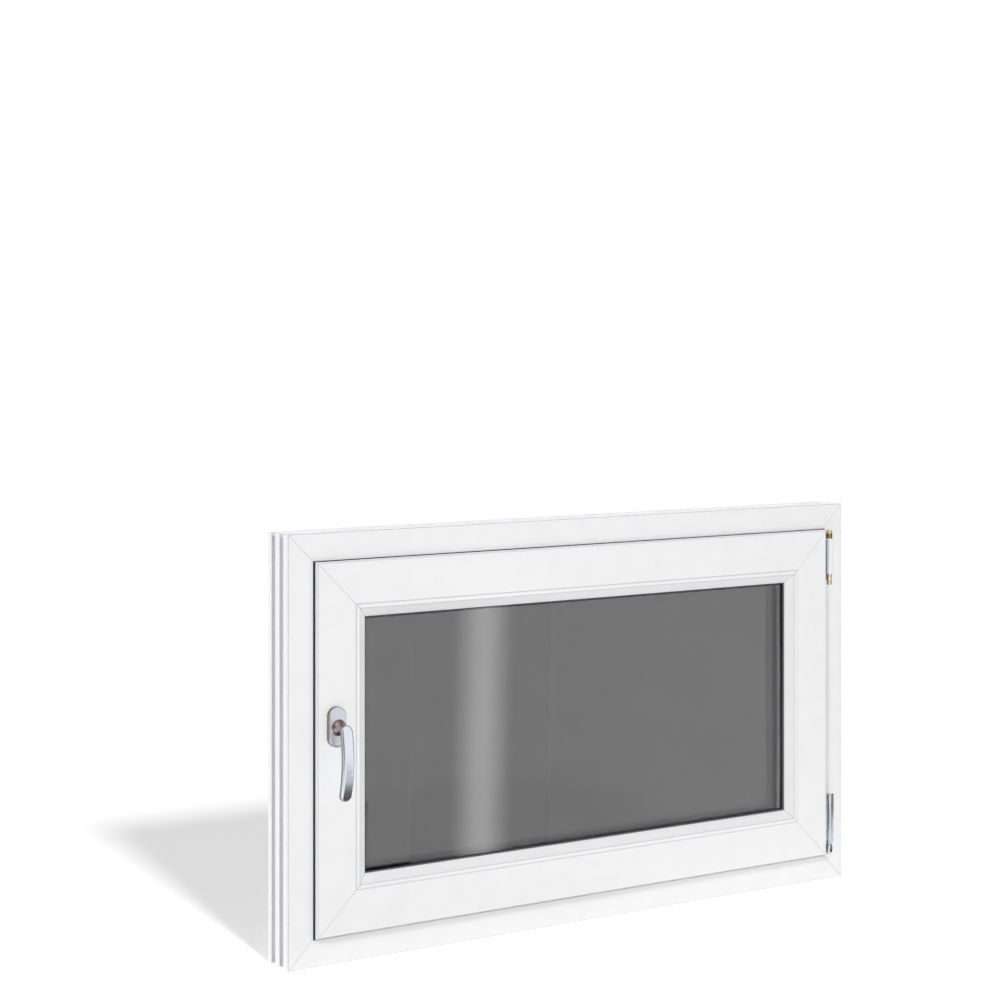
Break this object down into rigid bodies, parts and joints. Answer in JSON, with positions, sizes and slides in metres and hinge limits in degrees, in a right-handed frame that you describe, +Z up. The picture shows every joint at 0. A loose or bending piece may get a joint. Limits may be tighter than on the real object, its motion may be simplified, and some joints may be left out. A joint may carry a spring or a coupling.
{
  "type": "basement window",
  "caption": "White PVC tilt-and-turn basement window, closed, with insulating glass, a turning handle on the left stile and exposed hinges on the right.",
  "frame": {"origin": "middle of the frame's underside, half-way through the frame's depth", "axes": "+X to the right as seen from the room, +Y to the outside, +Z up"},
  "size_m": [1, 0.1181, 0.6],
  "materials": {
    "white_pvc": "satin",
    "black_gasket": "matte",
    "white_cap_plastic": "satin",
    "clear_glass": "polished",
    "grey_glass": "polished",
    "grey_edge_spacer": "matte",
    "silver_anodised_aluminium": "satin",
    "yellow_passivated_steel": "satin",
    "zinc_plated_steel": "satin"
  },
  "bodies": {
    "window": {"frame_sill": "white_pvc", "frame_head": "white_pvc", "frame_left_jamb": "white_pvc", "frame_right_jamb": "white_pvc", "frame_gasket": "black_gasket", "drain_cap_left": "white_cap_plastic", "drain_cap_right": "white_cap_plastic", "sash_bottom_rail": "white_pvc", "sash_top_rail": "white_pvc", "sash_lock_stile": "white_pvc", "sash_hinge_stile": "white_pvc", "sash_gasket": "black_gasket", "bead_bottom": "white_pvc", "bead_top": "white_pvc", "bead_left": "white_pvc", "bead_right": "white_pvc", "glazing_gasket_room": "black_gasket", "glazing_gasket_outside": "black_gasket", "glass_room_pane": "clear_glass", "glass_outside_pane": "grey_glass", "glass_spacer": "grey_edge_spacer", "handle_rosette": "silver_anodised_aluminium", "upper_hinge_knuckle": "yellow_passivated_steel", "upper_hinge_bearing": "yellow_passivated_steel", "upper_hinge_cover": "white_cap_plastic", "upper_hinge_pin": "zinc_plated_steel", "lower_hinge_leaf": "zinc_plated_steel", "lower_hinge_pivot": "zinc_plated_steel", "lower_hinge_cup": "zinc_plated_steel"},
    "handle": {"handle_lever": "silver_anodised_aluminium"}
  },
  "joints": [
    {"name": "handle_turn", "type": "hinge", "parent": "window", "child": "handle", "pos_m": [-0.432, -0.041, 0.332], "axis": [0, -1, 0], "range_deg": [0, 180]}
  ]
}
